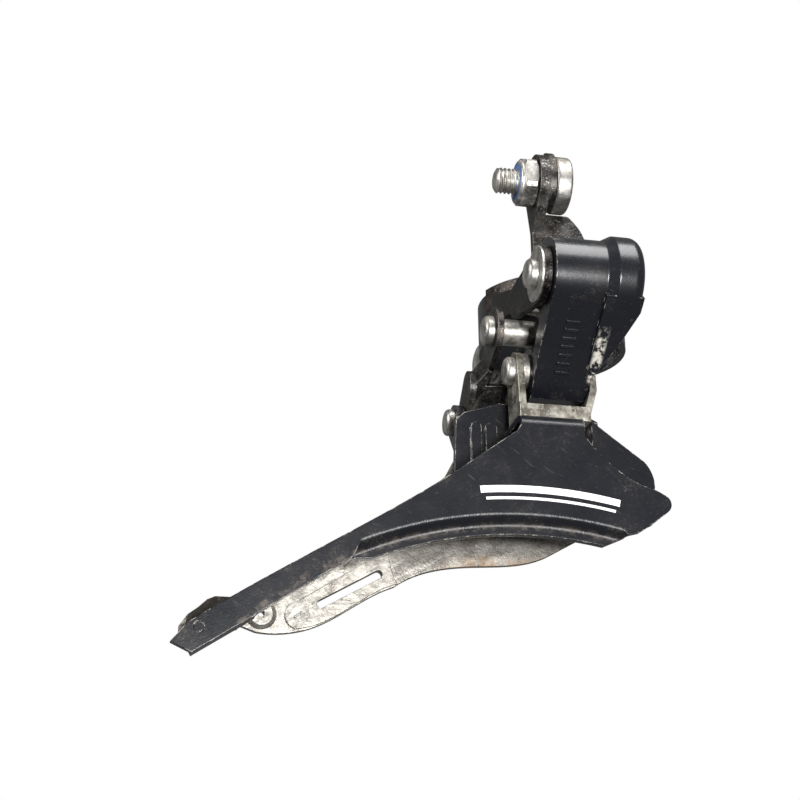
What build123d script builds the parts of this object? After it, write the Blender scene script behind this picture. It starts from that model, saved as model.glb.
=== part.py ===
from build123d import *
import math
import os

# Down-swing front derailleur for a 28.6 mm seat tube, in millimetres.
# Origin: centre of the clamp bore. +Z up along the seat tube, +X to the front of the
# bicycle, +Y inboard, so the outboard side faces -Y. Rest is the innermost cage position.

# Clamp round the seat tube
TUBE_R = 14.3
BAND_T = 1.3
BAND_R = TUBE_R + BAND_T
BAND_H = 11.0
BAND_TOP = BAND_H / 2
HINGE_ANGLE = -60.0
HINGE_R = 17.0
HINGE_PIN_R = 1.1
KNUCKLE_R = 2.2
KNUCKLE_HALF = 1.8
BOLT_ANGLE = 100.0
BOLT_R_FROM_AXIS = 20.3
EAR_GAP_HALF = 1.2
EAR_T = 2.0
EAR_OUT_R = 25.0
CLAMP_BOLT_R = 2.5

# Parallelogram, seen along X: A and C are fixed, B and D carry the cage
A_Y, A_Z = -49.0, -12.0
LEAN = 46.4
LINK_LEN = 19.6
FIXED_DY, FIXED_DZ = 15.0, -5.2
B_Y = A_Y + LINK_LEN * math.sin(math.radians(LEAN))
B_Z = A_Z - LINK_LEN * math.cos(math.radians(LEAN))
C_Y, C_Z = A_Y + FIXED_DY, A_Z + FIXED_DZ
D_Y, D_Z = B_Y + FIXED_DY, B_Z + FIXED_DZ

# Pins and their running fits
OUTER_PIN_R = 2.0
INNER_PIN_R = 1.9
RUNNING = 0.05
SNUG = 0.01
SIDE_GAP = 0.2
SLEEVE_R = 2.5
BUSH_R = 2.9
RIVET_R = 1.5
WIRE_R = 0.45
SPRING_X = -12.2
SPRING_R = 3.1
SPRING_PITCH = 1.05
SPRING_TURNS = 5.5
SPRING_LEGS = (6.0, 4.0)
BAND_RIVET_ANGLES = (228, 250)

# Stations along X, each pair from rear to front
BRACKET_REAR = (-17.9, -16.5)
BRACKET_FRONT = (-2.5, -1.2)
LINK_BODY = (-16.3, -5.6)
SHOULDER = (-6.6, -4.6)
CAP_FRONT = 0.6
CAP_POCKET = (-2.8, -0.9)
YOKE_REAR = (-19.2, -17.9)
YOKE_FRONT = (-5.4, -4.1)
YOKE_FOOT = (-7.0, -5.7)
INNER_REAR_TOP = (-22.6, -21.4)
INNER_REAR_LOW = (-25.6, -24.3)
INNER_FRONT = (-3.9, -2.7)
CAGE_EAR_REAR = (-27.2, -25.9)
CAGE_WEB_REAR = -29.0
CAGE_EAR_FRONT = (-2.5, -1.2)

# Radii of the eyes round the pivots
A_EYE_R = 5.4
C_EYE_R = 4.6
B_EYE_R = 3.6
D_EYE_R = 3.5
BOSS_R = 7.1
CAP_R = 8.1
LOW_BOSS_R = 4.4

# Cage: outer plate, inner plate and the bracket that joins them
SHEET = 1.3
OUTER_Y = -42.0
STEP_IN = 1.6
INNER_Y = -28.6
INNER_T = 1.2
WEB_T = 1.4
TAB_X = (-19.8, -7.9)
TAB_TOP = -36.3
ARC_X, ARC_Z = -18.5, -132.8
SHOULDER_R = 77.2
FOOT_R = 75.0
EDGE_R = 73.6

TAB_RIVETS_X = (-15.4, -10.6)
TAB_RIVET_Y = -35.6
CAGE_RIVET_Z = -42.8
WING_RIVETS = ((-21.6, -47.8), (3.0, -48.0))
TAIL_RIVET = (-76.4, -78.6)
TAIL_RIVET_R = 0.9

# Cable arm and its anchor bolt, axis along X
ANCHOR_Y, ANCHOR_Z = -44.0, 9.8
ANCHOR_R = 2.5
ARM_EYE_X = (-16.35, -14.4)
NUT_X = (-19.7, -16.4)
PLATE_X = (-14.35, -13.1)
BOLT_HEAD_X = (-13.05, -9.9)
ARM_EYE_R = 5.6
ARM_Y = A_Y + BOSS_R - 0.5
ARM_T = 1.6

ARM_RIVETS_X = (-13.2, -8.4)
ARM_RIVET_R = 1.3

# Limit screws, axis along Z
SCREW_Y = -24.0
SCREW_LOW_X = -10.7
SCREW_HIGH_X = -5.7
SCREW_R = 1.5
BRIDGE_Z = (-10.6, -9.0)
SLEEVE_LUG = (-14.4, -13.1)

os.makedirs("parts", exist_ok=True)


def rod(x0, x1, y, z, radius):
    """Round bar along X."""
    plane = Plane(origin=(x0, y, z), z_dir=(1, 0, 0))
    return extrude(plane * Circle(radius), amount=x1 - x0)


def rod_y(y0, y1, x, z, radius):
    """Round bar along Y."""
    plane = Plane(origin=(x, y0, z), z_dir=(0, 1, 0))
    return extrude(plane * Circle(radius), amount=y1 - y0)


def rod_z(z0, z1, x, y, radius):
    """Round bar along Z."""
    return extrude(Pos(x, y, z0) * Circle(radius), amount=z1 - z0)


def along_x(outline, span):
    """Sheet normal to X, from an outline drawn in (y, z)."""
    return extrude(Plane.YZ.offset(span[0]) * outline, amount=span[1] - span[0], dir=(1, 0, 0))


def along_y(outline, y0, y1):
    """Sheet normal to Y from y0 (outboard) to y1, from an outline drawn in (x, z)."""
    plane = Plane(origin=(0, y1, 0), x_dir=(1, 0, 0), z_dir=(0, -1, 0))
    return extrude(plane * outline, amount=y1 - y0, dir=(0, -1, 0))


def along_z(outline, z0, z1):
    """Sheet normal to Z from z0 up to z1, from an outline drawn in (x, y)."""
    return extrude(Pos(0, 0, z0) * outline, amount=z1 - z0, dir=(0, 0, 1))


def hull(*circles):
    """Tight outline round circles given as (u, v, radius)."""
    edges = [edge for u, v, radius in circles for edge in (Pos(u, v) * Circle(radius)).edges()]
    return make_hull(edges)


def polar(radius, angle):
    """Point at a radius and an angle in degrees from +X."""
    return (radius * math.cos(math.radians(angle)), radius * math.sin(math.radians(angle)))


def hang(shape, pivot_y, pivot_z):
    """Place a link drawn hanging straight down from its upper pivot at the origin."""
    return Pos(0, pivot_y, pivot_z) * Rot(LEAN, 0, 0) * shape


def hexagon(across_flats):
    """Hexagon for nuts and bolt heads."""
    return RegularPolygon(across_flats / 2, 6, major_radius=False)


def domed_head(x0, x1, y, z, radius, crown):
    """Rivet head along X with its rim rounded towards x0."""
    head = rod(x0, x1, y, z, radius)
    rim = head.edges().filter_by(GeomType.CIRCLE).sort_by(Axis.X)
    return fillet(rim[0] if x0 < x1 else rim[-1], crown)


def save(name, shape):
    """Write one node."""
    export_step(shape, f"parts/{name}.step")


# ---------------------------------------------------------------- clamp

def band_sector(start, end):
    """Part of the clamp band between two angles."""
    steps = 8
    rays = [polar(2 * BAND_R, start + (end - start) * i / steps) for i in range(steps + 1)]
    wedge = make_face(Polyline((0, 0), *rays, close=True))
    ring = (Circle(BAND_R) - Circle(TUBE_R)) & wedge
    return extrude(Pos(0, 0, -BAND_TOP) * ring, amount=BAND_H)


def hinge_cylinder(radius, z0, z1):
    """Cylinder on the hinge axis."""
    x, y = polar(HINGE_R, HINGE_ANGLE)
    return rod_z(z0, z1, x, y, radius)


def bolt_frame(offset):
    """Plane across the clamp bolt at an offset along the bolt, local x radial, local y down."""
    radial = polar(1, BOLT_ANGLE)
    tangent = (-radial[1], radial[0], 0)
    origin = (tangent[0] * offset, tangent[1] * offset, 0)
    return Plane(origin=origin, x_dir=(radial[0], radial[1], 0), z_dir=tangent)


def clamp_ear(offset, hole):
    """Ear plate standing out from the band, with its bolt hole."""
    inner = TUBE_R + 0.3
    blank = Pos((inner + EAR_OUT_R) / 2, 0) * Rectangle(EAR_OUT_R - inner, BAND_H)
    corners = blank.vertices().sort_by(Axis.X)[-2:]
    return extrude(bolt_frame(offset) * (fillet(corners, 3.0) - hole), amount=EAR_T)


def clamp_band():
    """Fixed part of the clamp, behind and outboard of the seat tube."""
    band = band_sector(BOLT_ANGLE + 4.4, 360 + HINGE_ANGLE - 0.5)
    band += clamp_ear(EAR_GAP_HALF, Pos(BOLT_R_FROM_AXIS, 0) * Circle(CLAMP_BOLT_R + RUNNING))
    band -= hinge_cylinder(KNUCKLE_R + 0.3, -KNUCKLE_HALF - 0.1, KNUCKLE_HALF + 0.1)
    for z0, z1 in ((-BAND_TOP, -KNUCKLE_HALF - 0.1), (KNUCKLE_HALF + 0.1, BAND_TOP)):
        band += hinge_cylinder(KNUCKLE_R, z0, z1)
    band -= hinge_cylinder(HINGE_PIN_R + SNUG, -BAND_TOP, BAND_TOP)
    for angle in BAND_RIVET_ANGLES:
        band -= radial_rod(angle, TUBE_R - 1, BAND_R + 1, RIVET_R + SNUG)
    return band


def clamp_strap():
    """Hinged front part of the clamp."""
    slot = hull((BOLT_R_FROM_AXIS - 0.4, 0, 3.1), (BOLT_R_FROM_AXIS + 0.9, 0, 3.1))
    strap = band_sector(HINGE_ANGLE + 0.5, BOLT_ANGLE - 4.4)
    strap += clamp_ear(-EAR_GAP_HALF - EAR_T, slot)
    for z0, z1 in ((-BAND_TOP, -KNUCKLE_HALF + 0.1), (KNUCKLE_HALF - 0.1, BAND_TOP)):
        strap -= hinge_cylinder(KNUCKLE_R + 0.3, z0, z1)
    strap += hinge_cylinder(KNUCKLE_R, -KNUCKLE_HALF + 0.1, KNUCKLE_HALF - 0.1)
    strap -= hinge_cylinder(HINGE_PIN_R + RUNNING, -BAND_TOP, BAND_TOP)
    return strap


def clamp_hinge_pin():
    """Headed pin of the clamp hinge."""
    return (
        hinge_cylinder(HINGE_PIN_R, -BAND_TOP - 0.8, BAND_TOP + 0.8)
        + hinge_cylinder(HINGE_PIN_R + 0.6, BAND_TOP, BAND_TOP + 0.8)
        + hinge_cylinder(HINGE_PIN_R + 0.6, -BAND_TOP - 0.8, -BAND_TOP)
    )


def on_bolt(outline, start, end):
    """Piece on the clamp bolt between two offsets along it."""
    placed = bolt_frame(start) * (Pos(BOLT_R_FROM_AXIS, 0) * outline)
    return extrude(placed, amount=end - start)


def clamp_bolt():
    """Hexagon bolt that draws the two clamp ears together."""
    seat = EAR_GAP_HALF + EAR_T + 1.0
    shank = on_bolt(Circle(CLAMP_BOLT_R), -11.0, seat)
    head = on_bolt(hexagon(8.0), seat, seat + 3.5)
    crown = on_bolt(Circle(4.3), seat, seat + 3.5)
    return shank + (head & chamfer(crown.edges(), 0.4))


def clamp_washer():
    """Flat washer under the bolt head."""
    seat = EAR_GAP_HALF + EAR_T
    return on_bolt(Circle(4.9) - Circle(CLAMP_BOLT_R + RUNNING), seat, seat + 1.0)


def clamp_nut():
    """Nut against the strap's ear."""
    seat = -EAR_GAP_HALF - EAR_T - 0.15
    body = on_bolt(hexagon(8.0) - Circle(CLAMP_BOLT_R + RUNNING), seat - 4.0, seat)
    crown = on_bolt(Circle(4.35), seat - 4.0, seat)
    return body & chamfer(crown.edges(), 0.4)


# ---------------------------------------------------------------- fixed bracket

def saddle():
    """Curved wall of the bracket that lies against the clamp band."""
    steps = 6
    start, end = 200, 266
    rays = [polar(2 * BAND_R, start + (end - start) * i / steps) for i in range(steps + 1)]
    wedge = make_face(Polyline((0, 0), *rays, close=True))
    ring = (Circle(BAND_R + SHEET) - Circle(TUBE_R)) & wedge
    return extrude(Pos(0, 0, -BAND_TOP) * ring, amount=BAND_H)


def bracket_side(pivots, low_edge):
    """Side plate of the bracket: eyes, an arm and its root on the band, in (y, z)."""
    arm = hull((A_Y, A_Z, A_EYE_R), (-31.9, -9.2, 2.2), *pivots)
    root = hull((-31.9, -9.2, 2.2), (-12.0, -1.1, 1.5), (-3.5, 2.2, 1.5), (-3.5, -3.4, 1.5), low_edge)
    return arm + root


def rear_plate_plan():
    """Plan of the rear side plate, which bends in to meet the band behind the tube."""
    return make_face(Polyline(
        (BRACKET_REAR[0], -60), (BRACKET_REAR[1], -60), (BRACKET_REAR[1], -17.9), (-13.4, -6.2),
        (-14.8, -5.8), (BRACKET_REAR[0], -17.5), close=True,
    ))


def fixed_bracket():
    """Pressed bracket on the clamp band, with the eyes for the two fixed pivots."""
    rear = bracket_side([(-33.0, -11.4, 2.0)], (-14.0, -3.4, 1.5))
    front = bracket_side([(C_Y, C_Z, C_EYE_R)], (-17.5, -3.4, 1.5))
    lug = hull((C_Y, C_Z, SLEEVE_R + 1.0), (-26.0, sum(BRIDGE_Z) / 2, 0.7), (-22.0, sum(BRIDGE_Z) / 2, 0.7))
    bridge = Pos((-27.5 - 15.8) / 2, sum(BRIDGE_Z) / 2) * Rectangle(11.7, BRIDGE_Z[1] - BRIDGE_Z[0])
    gusset = hull((-16.6, -9.8, 0.7), (-16.6, -4.0, 0.7))
    bracket = saddle()
    bracket += along_x(rear, (BRACKET_REAR[0], -10)) & along_z(rear_plate_plan(), -40, 20)
    bracket += along_x(front, BRACKET_FRONT)
    bracket += along_x(bridge, (BRACKET_REAR[1] - 0.9, BRACKET_FRONT[1]))
    bracket += along_x(gusset, (-8.0, BRACKET_FRONT[1]))
    bracket += along_x(lug, SLEEVE_LUG)
    bracket -= rod(-25, 5, A_Y, A_Z, OUTER_PIN_R + SNUG)
    bracket -= rod(-25, -10, C_Y, C_Z, SLEEVE_R + SNUG)
    bracket -= rod(-10, 5, C_Y, C_Z, INNER_PIN_R + SNUG)
    bracket -= rod_z(-40, 40, 0, 0, BAND_R + SNUG)
    for x in (SCREW_LOW_X, SCREW_HIGH_X):
        bracket -= rod_z(BRIDGE_Z[0] - 1, BRIDGE_Z[1] + 1, x, SCREW_Y, SCREW_R + RUNNING)
    for angle in BAND_RIVET_ANGLES:
        bracket -= radial_rod(angle, TUBE_R - 1, BAND_R + 4, RIVET_R + SNUG)
    return bracket


def radial_rod(angle, inner, outer, radius):
    """Round bar pointing away from the seat tube axis, at mid height of the band."""
    way = (*polar(1, angle), 0)
    origin = (way[0] * inner, way[1] * inner, 0)
    return extrude(Plane(origin=origin, z_dir=way) * Circle(radius), amount=outer - inner)


def band_rivets():
    """Rivets that hold the bracket on the band, flush inside the bore."""
    rivets = []
    seat = BAND_R + SHEET + SNUG
    for angle in BAND_RIVET_ANGLES:
        shank = radial_rod(angle, TUBE_R + 0.2, seat + 1.1, RIVET_R)
        rivets.append(shank + radial_rod(angle, seat, seat + 1.1, 2.4))
    return rivets


def limit_screw(x, length):
    """Small cross-headed stop screw through the bridge, axis along Z."""
    head_z = BRIDGE_Z[1] + 0.2
    screw = rod_z(head_z - length, head_z, x, SCREW_Y, SCREW_R)
    head = rod_z(head_z, head_z + 2.2, x, SCREW_Y, 2.0)
    head = fillet(head.edges().group_by(Axis.Z)[-1], 0.8)
    for size in ((2.6, 0.6), (0.6, 2.6)):
        head -= extrude(Pos(x, SCREW_Y, head_z + 1.2) * Rectangle(*size), amount=2)
    return screw + head


# ---------------------------------------------------------------- links

def outer_link_profile():
    """Side profile of the cast outer link, hanging from A at the origin, in (y, z)."""
    web = make_face(Polyline(
        (-BOSS_R, 0), (-5.2, -12), (-5, -22.5), (-1, -27.3), (2.6, -26.2), (3.6, -22.2),
        (-1.4, -14.6), (-1.4, -5), (4, 0), close=True,
    ))
    return web + Circle(BOSS_R) + Pos(0, -LINK_LEN) * Circle(LOW_BOSS_R)


def cap_skirt():
    """Front cheek that runs from the cap down to the foot of the link, in (x, z)."""
    root = LINK_BODY[1] - 1
    return make_face(
        Polyline((root, -17.6), (root, 0), (CAP_FRONT - 0.1, 0), (CAP_FRONT - 0.1, -3.0))
        + Spline((CAP_FRONT - 0.1, -3.0), (-1.3, -8.4), (-3.7, -14.2), (LINK_BODY[1], -17.6))
        + Line((LINK_BODY[1], -17.6), (root, -17.6))
    )


def link_cap():
    """Round cap with a sloped shoulder, turned about the upper pivot."""
    return revolve(make_face(
        Polyline((SHOULDER[0], 0), (SHOULDER[0], BOSS_R - 0.05), (SHOULDER[1], CAP_R), (CAP_FRONT - 2.2, CAP_R))
        + ThreePointArc((CAP_FRONT - 2.2, CAP_R), (CAP_FRONT - 0.64, CAP_R - 0.64), (CAP_FRONT, CAP_R - 2.2))
        + Polyline((CAP_FRONT, CAP_R - 2.2), (CAP_FRONT, 0), (SHOULDER[0], 0))
    ), axis=Axis.X)


def bracket_sweep():
    """Room that the bracket's front eye needs inside the cap over the whole swing."""
    return Circle(A_EYE_R + 0.3) + make_face(Polyline(
        (-5.2, -2.4), (7.4, -30), (40, -30), (36, 25), (-2.5, 5.1), close=True,
    ))


def outer_link():
    """Cast outer link with its cap over the bracket's front eye and a flat for the cable arm."""
    link = along_x(outer_link_profile(), LINK_BODY)
    link += link_cap()
    taper = make_face(Polyline(
        (-8.0, 0), (-7.6, -3.0), (-5.7, -14.0), (-5.3, -18.0), (-4.4, -18.0), (-4.4, 0), close=True))
    link += along_y(cap_skirt(), -9, -4) & along_x(taper, (LINK_BODY[1] - 2, CAP_FRONT))
    link -= along_x(bracket_sweep(), CAP_POCKET)
    link -= along_x(make_face(Polyline((-1, -7), (12, -7), (12, -40), (-1, -40), close=True))
                    - Pos(0, -LINK_LEN) * Circle(9), (LINK_BODY[0] + 2, LINK_BODY[1] + 8))
    front = LINK_BODY[1] + 0.1
    foot_corner = make_face(Polyline(
        (front, -20.8), (front - 2.0, -27.6), (front - 2.0, -30), (front, -30), close=True))
    link -= along_y(foot_corner, -10, 10)
    link -= rod(LINK_BODY[0] - 1, CAP_POCKET[0] + 2, 0, 0, BUSH_R + SNUG)
    link -= rod(LINK_BODY[0] - 1, LINK_BODY[1] + 1, 0, -LINK_LEN, BUSH_R + SNUG)
    link = hang(link, A_Y, A_Z)
    link -= Pos(-11.0, ARM_Y + 2, A_Z + 3.0) * Box(12.6, 4.0, 16.0)
    for x in ARM_RIVETS_X:
        link -= rod_y(ARM_Y - 1.4, ARM_Y + 1, x, A_Z - 0.5, ARM_RIVET_R + SNUG)
    return link


def outer_link_bushes():
    """Plain bushes in the two eyes of the outer link."""
    upper = rod(LINK_BODY[0], CAP_POCKET[0], 0, 0, BUSH_R)
    upper -= rod(LINK_BODY[0], CAP_POCKET[0], 0, 0, OUTER_PIN_R + RUNNING)
    lower = rod(LINK_BODY[0], LINK_BODY[1], 0, -LINK_LEN, BUSH_R)
    lower -= rod(LINK_BODY[0], LINK_BODY[1], 0, -LINK_LEN, OUTER_PIN_R + RUNNING)
    return [hang(upper, A_Y, A_Z), hang(lower, A_Y, A_Z)]


def inner_rear_eyes():
    """Upper and lower rear eyes of the inner link and the slanted step between them."""
    upper = along_x(hull((0, 0, C_EYE_R), (1.2, -9.0, 2.2)), INNER_REAR_TOP)
    lower = along_x(hull((0, -LINK_LEN, D_EYE_R), (0.2, -12.0, 3.2)), INNER_REAR_LOW)
    step = make_face(Polyline(
        (INNER_REAR_TOP[1], -7.6), (INNER_REAR_TOP[0], -7.0), (INNER_REAR_LOW[0], -11.6),
        (INNER_REAR_LOW[0], -14.0), (INNER_REAR_LOW[1], -13.4), close=True,
    ))
    return upper + lower + along_y(step, -2.5, 3.2)


def inner_link():
    """Pressed inner link: two eyes at each end and one web between them."""
    web = make_face(Polyline(
        (INNER_REAR_LOW[0], -10.8), (-22.5, -10.2), (INNER_FRONT[1], -9.6),
        (INNER_FRONT[1], -15.4), (INNER_REAR_LOW[0], -15.9), close=True,
    ))
    link = inner_rear_eyes()
    link += along_x(hull((0, 0, C_EYE_R), (0, -LINK_LEN, D_EYE_R)), INNER_FRONT)
    link += along_y(web, -2.5, -1.2)
    link += Pos(SCREW_LOW_X, 0.5, -11.0) * Box(3.6, 6.2, 2.6)
    link -= rod(-40, 5, 0, 0, INNER_PIN_R + RUNNING)
    link -= rod(-40, 5, 0, -LINK_LEN, INNER_PIN_R + 0.09)
    return hang(link, C_Y, C_Z)


def pin_with_heads(x0, x1, y, z, radius, rear_head, front_head):
    """Riveted pin: each head is (radius, thickness)."""
    pin = rod(x0 - rear_head[1], x1 + front_head[1], y, z, radius)
    pin += domed_head(x0 - rear_head[1], x0, y, z, rear_head[0], 0.5 * rear_head[1])
    front = rod(x1, x1 + front_head[1], y, z, front_head[0])
    rim = front.edges().filter_by(GeomType.CIRCLE).sort_by(Axis.X)[-1]
    return pin + fillet(rim, 0.5 * front_head[1])


def washer(x0, x1, y, z, outer, bore):
    """Ring on a pin."""
    return rod(x0, x1, y, z, outer) - rod(x0, x1, y, z, bore)


def return_spring():
    """Wire torsion spring round the inner pivot, with a straight leg at each end."""
    coil = Helix(pitch=SPRING_PITCH, height=SPRING_PITCH * SPRING_TURNS, radius=SPRING_R)
    first = coil @ 0 - (coil % 0) * SPRING_LEGS[0]
    last = coil @ 1 + (coil % 1) * SPRING_LEGS[1]
    path = Wire([Line(first, coil @ 0).edge(), coil.edge(), Line(coil @ 1, last).edge()])
    spring = sweep(Plane(origin=first, z_dir=coil % 0) * Circle(WIRE_R), path=path)
    return Plane(origin=(SPRING_X, C_Y, C_Z), x_dir=(0, 0, -1), z_dir=(1, 0, 0)) * spring


def inner_pivot_sleeve():
    """Sleeve on the inner pivot that carries the spring and keeps the eyes apart."""
    span = (INNER_REAR_TOP[1] + SIDE_GAP, INNER_FRONT[0] - SIDE_GAP)
    return washer(*span, C_Y, C_Z, SLEEVE_R, INNER_PIN_R + SNUG)


# ---------------------------------------------------------------- cable arm

def cable_arm():
    """Pressed arm on the outer link: a seat, a twisted neck and the anchor eye."""
    seat = make_face(
        Polyline((-15.8, -15.0), (-15.8, -6.0), (ARM_EYE_X[0], -4.0), (ARM_EYE_X[0], 9.0),
                 (ARM_EYE_X[1], 9.0))
        + Spline((ARM_EYE_X[1], 9.0), (-12.4, 7.4), (-9.5, 4.6), (-6.9, 1.4), (-6.2, -4.0))
        + Polyline((-6.2, -4.0), (-5.8, -15.0), (-15.8, -15.0))
    )
    arm = along_y(seat, ARM_Y + SNUG, ARM_Y + ARM_T)
    arm += along_x(hull((ANCHOR_Y, ANCHOR_Z, ARM_EYE_R), (ARM_Y + 0.8, 0.5, 0.78)), ARM_EYE_X)
    arm -= rod(-20, BOLT_HEAD_X[1], ANCHOR_Y, ANCHOR_Z, ANCHOR_R + SNUG)
    arm -= rod(PLATE_X[0] - 0.04, BOLT_HEAD_X[1] + 2, ANCHOR_Y, ANCHOR_Z, 5.75)
    for x in ARM_RIVETS_X:
        arm -= rod_y(ARM_Y - 5, ARM_Y + 5, x, A_Z - 0.5, ARM_RIVET_R + SNUG)
    return arm


def arm_rivets():
    """Rivets that hold the cable arm on the outer link."""
    rivets = []
    for x in ARM_RIVETS_X:
        shank = rod_y(ARM_Y - 1.2, ARM_Y + ARM_T + 0.9, x, A_Z - 0.5, ARM_RIVET_R)
        head = rod_y(ARM_Y + ARM_T + SNUG, ARM_Y + ARM_T + 0.9, x, A_Z - 0.5, 2.2)
        rivets.append(shank + head)
    return rivets


def anchor_bolt():
    """Round-headed bolt that holds the end of the cable."""
    head = rod(*BOLT_HEAD_X, ANCHOR_Y, ANCHOR_Z, 5.5)
    head = fillet(head.edges().filter_by(GeomType.CIRCLE), 0.7)
    shank = rod(-24.0, BOLT_HEAD_X[0], ANCHOR_Y, ANCHOR_Z, ANCHOR_R)
    return chamfer(shank.edges().filter_by(GeomType.CIRCLE).sort_by(Axis.X)[0], 0.8) + head


def cable_plate():
    """Grooved plate that presses the cable against the bolt head."""
    plate = along_x(hull((ANCHOR_Y, ANCHOR_Z, 5.2), (ANCHOR_Y, ANCHOR_Z + 1.2, 5.0)), PLATE_X)
    plate -= rod(PLATE_X[0] - 1, PLATE_X[1] + 1, ANCHOR_Y, ANCHOR_Z, ANCHOR_R + SNUG)
    return plate - Pos(PLATE_X[1], ANCHOR_Y + 3.6, ANCHOR_Z) * Box(1.2, 1.4, 20)


def anchor_nut():
    """Self-locking thin nut with a collar for its nylon ring."""
    seat, x0 = NUT_X[0] + 0.6, NUT_X[0]
    hexa = Plane(origin=(seat, ANCHOR_Y, ANCHOR_Z), x_dir=(0, 0, 1), z_dir=(1, 0, 0)) * hexagon(9.0)
    body = extrude(hexa, amount=NUT_X[1] - seat)
    crown = rod(seat, NUT_X[1], ANCHOR_Y, ANCHOR_Z, 4.95)
    body &= chamfer(crown.edges().filter_by(GeomType.CIRCLE), 0.35)
    collar = rod(x0, seat, ANCHOR_Y, ANCHOR_Z, 4.2)
    collar = fillet(collar.edges().filter_by(GeomType.CIRCLE).sort_by(Axis.X)[0], 0.4)
    nut = body + collar
    nut -= rod(x0, x0 + 1.1, ANCHOR_Y, ANCHOR_Z, 3.5)
    return nut - rod(x0 - 1, NUT_X[1] + 1, ANCHOR_Y, ANCHOR_Z, ANCHOR_R + SNUG)


def nut_ring():
    """Nylon ring in the collar of the anchor nut."""
    return washer(NUT_X[0] + 0.05, NUT_X[0] + 1.09, ANCHOR_Y, ANCHOR_Z, 3.5 - SNUG, ANCHOR_R + SNUG)


# ---------------------------------------------------------------- cage

def arc_point(radius, x):
    """Point on a cage arc at a given x."""
    return (x, ARC_Z + math.sqrt(radius ** 2 - (x - ARC_X) ** 2))


def cage_arc(radius, x0, x1):
    """Arc concentric with the cage curve between two stations."""
    return ThreePointArc(arc_point(radius, x0), arc_point(radius, (x0 + x1) / 2), arc_point(radius, x1))


def outer_plate_face():
    """Flat of the outer plate above the chain step, with the nose and the tail, in (x, z)."""
    arc_r = SHOULDER_R + 0.3
    start = arc_point(arc_r, -48.9)
    end = arc_point(arc_r, -2.4)
    return make_face(
        cage_arc(arc_r, -48.9, -2.4)
        + Polyline(end, (-0.9, -58.6), (1.3, -58.0), (4.3, -56.0), (7.0, -53.9))
        + ThreePointArc((7.0, -53.9), (7.7, -52.6), (7.2, -51.2))
        + Spline((7.2, -51.2), (5.1, -50.0), (1.9, -48.9), (-1.4, -47.0), (-8.2, -40.0))
        + Line((-8.2, -40.0), (TAB_X[1], -38.6))
        + Line((TAB_X[1], -38.6), (TAB_X[0], -38.6))
        + Line((TAB_X[0], -38.6), (-20.6, -40.0))
        + Spline((-20.6, -40.0), (-24.0, -42.5), (-33.7, -49.6), (-52.8, -61.8), (-78.4, -78.0))
        + Polyline((-78.4, -78.0), (-81.0, -81.2), (-77.4, -82.9), (-50.6, -65.2), start)
    )


def step_section():
    """Section of the chain step: shoulder, S-bend and inset strip, in (x, y) from the arc centre."""
    face, inside = OUTER_Y, OUTER_Y + SHEET
    middle = (SHOULDER_R + FOOT_R) / 2
    spread = 0.7
    return make_face(
        Line((SHOULDER_R + spread, face), (SHOULDER_R, face))
        + Bezier((SHOULDER_R, face), (middle, face), (middle, face + STEP_IN), (FOOT_R, face + STEP_IN))
        + Polyline((FOOT_R, face + STEP_IN), (EDGE_R, face + STEP_IN), (EDGE_R, inside + STEP_IN),
                   (FOOT_R + spread, inside + STEP_IN))
        + Bezier((FOOT_R + spread, inside + STEP_IN), (middle + spread, inside + STEP_IN),
                 (middle + spread, inside), (SHOULDER_R + spread, inside))
        + Line((SHOULDER_R + spread, inside), (SHOULDER_R + spread, face))
    )


def chain_step():
    """S-bend and inset strip along the lower edge of the outer plate, turned about the cage arc."""
    ring = revolve(step_section(), axis=Axis.Y)
    zone = make_face(Polyline(
        (-51.9, -66.0), (-50.2, -60.0), (-26.0, -54.0), (-1.0, -54.0), (-0.9, -58.6), (-5.0, -60.45),
        (-7.0, -62.0), (-46.0, -68.0), (-47.0, -64.94), (-50.6, -65.2), close=True,
    ))
    return (Pos(ARC_X, 0, ARC_Z) * ring) & along_y(zone, OUTER_Y - 1, OUTER_Y + 4)


def step_end():
    """Short wall that closes the rear end of the chain step, in (x, z)."""
    return make_face(Polyline((-51.9, -66.0), (-50.6, -65.2), (-48.9, -61.5), (-50.3, -61.3), close=True))


def tab_profile():
    """Top of the outer plate folded inboard and down again, in (y, z)."""
    outer = OUTER_Y
    return make_face(
        Line((outer, -40.5), (outer, TAB_TOP - 2.4))
        + ThreePointArc((outer, TAB_TOP - 2.4), (outer + 0.7, TAB_TOP - 0.7), (outer + 2.4, TAB_TOP))
        + Line((outer + 2.4, TAB_TOP), (-31.6, TAB_TOP))
        + ThreePointArc((-31.6, TAB_TOP), (-30.47, TAB_TOP - 0.47), (-30.01, TAB_TOP - 1.6))
        + Polyline((-30.01, TAB_TOP - 1.6), (-30.01, -45.5), (-31.31, -45.5), (-31.31, TAB_TOP - 1.6))
        + Line((-31.31, TAB_TOP - 1.6), (-31.6, TAB_TOP - SHEET))
        + Line((-31.6, TAB_TOP - SHEET), (outer + 2.4, TAB_TOP - SHEET))
        + ThreePointArc((outer + 2.4, TAB_TOP - SHEET), (outer + 1.62, TAB_TOP - 1.62),
                        (outer + SHEET, TAB_TOP - 2.4))
        + Line((outer + SHEET, TAB_TOP - 2.4), (outer + SHEET, -40.5))
        + Line((outer + SHEET, -40.5), (outer, -40.5))
    )


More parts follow.
